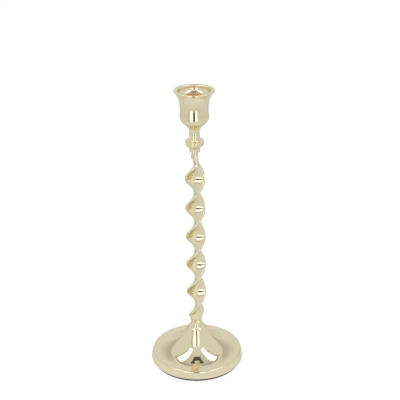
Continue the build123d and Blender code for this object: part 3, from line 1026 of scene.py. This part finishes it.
class HOLDER_OT_inside(Operator):
    """Finishes for the pieces hidden in the foot"""

    bl_idname = "holder.inside"
    bl_label = "Inside pieces"

    def execute(self, context):
        look = context.scene.holder_finish
        zinc = turned_metal("zinc_plated", look.steel, smooth=0.25, coarse=0.45, ring_scale=700.0)
        plain = turned_metal("brass_plain", look.plain_brass, smooth=0.25, coarse=0.4, ring_scale=1200.0)
        iron = cast_metal("iron_cast", look.iron, look.rust)
        finishes = {
            "tie_bolt": zinc,
            "spring_washer": zinc,
            "flat_washer": zinc,
            "foot_boss": plain,
            "ballast_plate": iron,
        }
        for name, finish in finishes.items():
            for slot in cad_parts[name].material_slots:
                slot.material = finish
        return {"FINISHED"}


def card_finish():
    """Plain glow of the studio's cards, at the level stored on each card."""
    name = "card_glow"
    if name in bpy.data.materials:
        return bpy.data.materials[name]
    made, nodes, output = bare_material(name)
    nodes.feed(output, Surface=nodes.shader("Emission", Color=WHITE, Strength=nodes.stored("level")))
    return made


def card(name, rows):
    """Card of the studio that only reflections show, from rows of points that each have a level."""
    bm = bmesh.new()
    layer = bm.verts.layers.float.new("level")
    grid = []
    for row in rows:
        grid.append([bm.verts.new(point) for point, glow in row])
        for vert, (point, glow) in zip(grid[-1], row):
            vert[layer] = glow
    for low, high in zip(grid, grid[1:]):
        for first in range(len(low) - 1):
            bm.faces.new((low[first], low[first + 1], high[first + 1], high[first]))
    made = meshed(bm, name, card_finish())
    made.visible_camera = False
    made.visible_diffuse = False
    made.visible_shadow = False
    return made


def round_about(angle, distance, height):
    """Point at a direction from the camera's side, seen from above, and a distance from the holder."""
    return (sin(angle) * distance, -cos(angle) * distance, max(height, CARD_LIFT))


def from_room(stage, glow, part):
    """Brightness a part of the way from the pale room's to another."""
    room = stage.surround[1]
    return room + (glow - room) * part


def place_camera(scene, stage):
    """Camera at the photo's angle."""
    data = bpy.data.cameras.new("camera")
    data.lens = stage.lens
    data.clip_start = CAMERA_START
    scene.camera = placed("camera", data)
    look = Matrix.Rotation(pi / 2 - stage.pitch, 4, "X") @ Matrix.Rotation(stage.roll, 4, "Z")
    scene.camera.matrix_world = Matrix.Translation(stage.eye) @ look


def light_room(scene, stage):
    """Soft light from a pale room, which is white behind the holder."""
    world = bpy.data.worlds.new("pale_room")
    scene.world = world
    world.use_nodes = True
    nodes = Nodes(world.node_tree)
    pale = nodes.feed(world.node_tree.nodes["Background"], Color=rgba(stage.surround)).outputs[0]
    white = nodes.shader("Background", Color=WHITE, Strength=1.0)
    ray = nodes.add("LightPath").outputs
    mixed = nodes.shader("MixShader", i0=ray["Is Camera Ray"], i1=pale, i2=white)
    nodes.feed(world.node_tree.nodes["World Output"], Surface=mixed)


def lay_floor(stage):
    """Floor that is white but for the holder's shadow, and that the metal shows dimmer."""
    bm = bmesh.new()
    bmesh.ops.create_circle(bm, cap_ends=True, segments=FLOOR_SIDES, radius=FLOOR_RADIUS)
    made, nodes, output = bare_material("floor_pale")
    floor = meshed(bm, "floor", made)

    ray = nodes.add("LightPath").outputs
    matt = nodes.shader("BsdfDiffuse", Color=rgba(stage.floor))
    shade = nodes.shader("BsdfDiffuse", Color=rgba(stage.floor_shade))
    glow = nodes.shader("Emission", Color=WHITE, Strength=stage.floor_glow)
    seen = nodes.shader("AddShader", i0=shade, i1=glow)
    dim = nodes.shader("BsdfDiffuse", Color=rgba(stage.floor_dim))
    place = nodes.place()
    away = nodes.add("VectorMath", {"operation": "LENGTH"}, i0=place).outputs["Value"]
    depth = nodes.add("SeparateXYZ", None, Vector=place).outputs["Y"]
    # Painted light and shade in reflections: the floor glows brighter by the foot, and dimmer and warmer
    # right behind it, for the foot's shadow and the light its brass throws.
    behind = nodes.spread(depth, *BEHIND_FOOT, 0.0, 1.0)
    near = nodes.spread(depth, *BEHIND_FOOT, stage.floor_near, stage.floor_back)
    fade = nodes.spread(away, *FOOT_LIGHT, 0.0, 1.0)
    close = nodes.math("SUBTRACT", 1.0, fade)
    far = nodes.math("MULTIPLY", fade, stage.floor_far)
    strong = nodes.math("ADD", nodes.math("MULTIPLY", near, close), far)
    warm = nodes.math("MULTIPLY", behind, close)
    hue = nodes.blend(warm, rgba(stage.surround), rgba(stage.floor_warm))
    soft = nodes.shader("Emission", Color=hue, Strength=strong)
    shown = nodes.shader("AddShader", i0=dim, i1=soft)
    unseen = nodes.shader("MixShader", i0=ray["Is Glossy Ray"], i1=matt, i2=shown)
    whole = nodes.shader("MixShader", i0=ray["Is Camera Ray"], i1=unseen, i2=seen)
    nodes.feed(output, Surface=whole)


def hang_lamps(stage):
    """Two long lamps in their frames, each with a darker band behind it."""
    height, edge = stage.lamp_height, stage.lamp_frame
    inner, outer = stage.lamp_inner - edge * FRAME_INSIDE, stage.lamp_outer + edge
    front, back = -stage.lamp_front - edge, stage.lamp_back + edge
    dark = stage.band_start + stage.card_soft
    light = dark + stage.band_core
    band = ((stage.band_start, 0), (dark, 1), (light, 1), (light + stage.band_fade, 0))
    for side, name in ((-1, "left"), (1, "right")):
        lamp = bpy.data.lights.new(f"lamp_{name}", "AREA")
        lamp.shape = "RECTANGLE"
        lamp.size = stage.lamp_outer - stage.lamp_inner
        lamp.size_y = stage.lamp_front + stage.lamp_back
        lamp.energy = stage.lamp_level * pi * lamp.size * lamp.size_y
        lit = placed(f"lamp_{name}", lamp)
        middle = (stage.lamp_outer + stage.lamp_inner) / 2
        lit.location = (side * middle, (stage.lamp_back - stage.lamp_front) / 2, height)
        lit.visible_camera = False
        card(f"lamp_frame_{name}", [
            [((side * x, y, height + FRAME_OVER), stage.frame_level) for y in (front, back)]
            for x in (inner, outer)
        ])
        card(f"band_{name}", [
            [
                (
                    round_about(side * angle, stage.band_distance, stage.band_height * up),
                    from_room(stage, stage.band_level, part * deep),
                )
                for angle, part in band
            ]
            for up, deep in BAND_ROWS
        ])


def hang_ceiling(stage):
    """Dark gap between the lamps, and the shade of the ceiling over and behind them."""
    over = stage.lamp_height + GAP_OVER
    card("ceiling_gap", [
        [((side * half, y, over), stage.gap_level) for side in (-1, 1)]
        for y, half in GAP_ROWS
    ])
    over = stage.lamp_height + SHADE_OVER
    card("ceiling_shade", [
        [((x, y, over), from_room(stage, stage.shade_level, deep * part)) for x, part in SHADE_ACROSS]
        for y, deep in SHADE_DEPTH
    ])


def stand_cards(stage):
    """White cards beside the camera, with a dark gap between them and a thin line beside the left one."""
    room, bright = stage.surround[1], stage.card_level
    soft, thin = stage.card_soft / 2, stage.line_angle
    rows = []
    for far, up, narrow, strong, paler in CARD_ROWS:
        dark = stage.gap_high if paler else stage.gap_level
        across = (
            (thin - 3 * soft, room), (thin, stage.line_level), (thin + 3 * soft, room),
            (stage.card_left - 2 * soft, room), (stage.card_left + 2 * soft, bright),
            (stage.gap_left - soft, bright), (stage.gap_left + soft, dark),
            (stage.gap_right - soft, dark), (stage.gap_right + soft, bright),
            (stage.card_right - 2 * soft, bright), (stage.card_right + 2 * soft, room),
        )
        rows.append([
            (
                round_about(angle * narrow, stage.card_distance * far, stage.card_height * up),
                from_room(stage, glow, strong),
            )
            for angle, glow in across
        ])
    card("camera_cards", rows)


class HOLDER_OT_stage(Operator):
    """Pale floor, soft studio light and the camera"""

    bl_idname = "holder.stage"
    bl_label = "Stage"

    def execute(self, context):
        scene, stage = context.scene, context.scene.holder_stage
        scene.view_settings.view_transform = "Standard"
        place_camera(scene, stage)
        light_room(scene, stage)
        lay_floor(stage)
        hang_lamps(stage)
        hang_ceiling(stage)
        stand_cards(stage)
        return {"FINISHED"}


class HOLDER_PT_panel(Panel):
    """Settings and steps of the candle holder"""

    bl_idname = "HOLDER_PT_panel"
    bl_label = "Candle Holder"
    bl_space_type = "VIEW_3D"
    bl_region_type = "UI"
    bl_category = "Candle Holder"

    def draw(self, context):
        for label, name, steps in GROUPS:
            box = self.layout.box()
            box.label(text=label)
            settings = getattr(context.scene, name)
            for key in settings.bl_rna.properties.keys():
                if key not in ("rna_type", "name"):
                    box.prop(settings, key)
            for step in steps:
                box.operator(step.bl_idname)


SETTINGS = {
    "holder_foot": FootSettings,
    "holder_bar": BarSettings,
    "holder_knop": KnopSettings,
    "holder_cup": CupSettings,
    "holder_finish": FinishSettings,
    "holder_stage": StageSettings,
}
GROUPS = (
    ("Foot", "holder_foot", (HOLDER_OT_felt, HOLDER_OT_foot)),
    ("Bar", "holder_bar", (HOLDER_OT_bar,)),
    ("Knop", "holder_knop", (HOLDER_OT_knop,)),
    ("Cup", "holder_cup", (HOLDER_OT_cup, HOLDER_OT_screw)),
    ("Finish", "holder_finish", (HOLDER_OT_inside,)),
    ("Stage", "holder_stage", (HOLDER_OT_stage,)),
)
STEPS = [step for label, name, steps in GROUPS for step in steps]
CLASSES = (*SETTINGS.values(), *STEPS, HOLDER_PT_panel)


def register():
    """Adds the settings, the steps and the panel."""
    for made in CLASSES:
        bpy.utils.register_class(made)
    for name, made in SETTINGS.items():
        setattr(bpy.types.Scene, name, PointerProperty(type=made))


def unregister():
    """Takes them away again."""
    for name in SETTINGS:
        delattr(bpy.types.Scene, name)
    for made in reversed(CLASSES):
        bpy.utils.unregister_class(made)


def main():
    """Runs every step in order."""
    register()
    for step in STEPS:
        part, name = step.bl_idname.split(".")
        getattr(getattr(bpy.ops, part), name)()


if __name__ == "__main__":
    main()
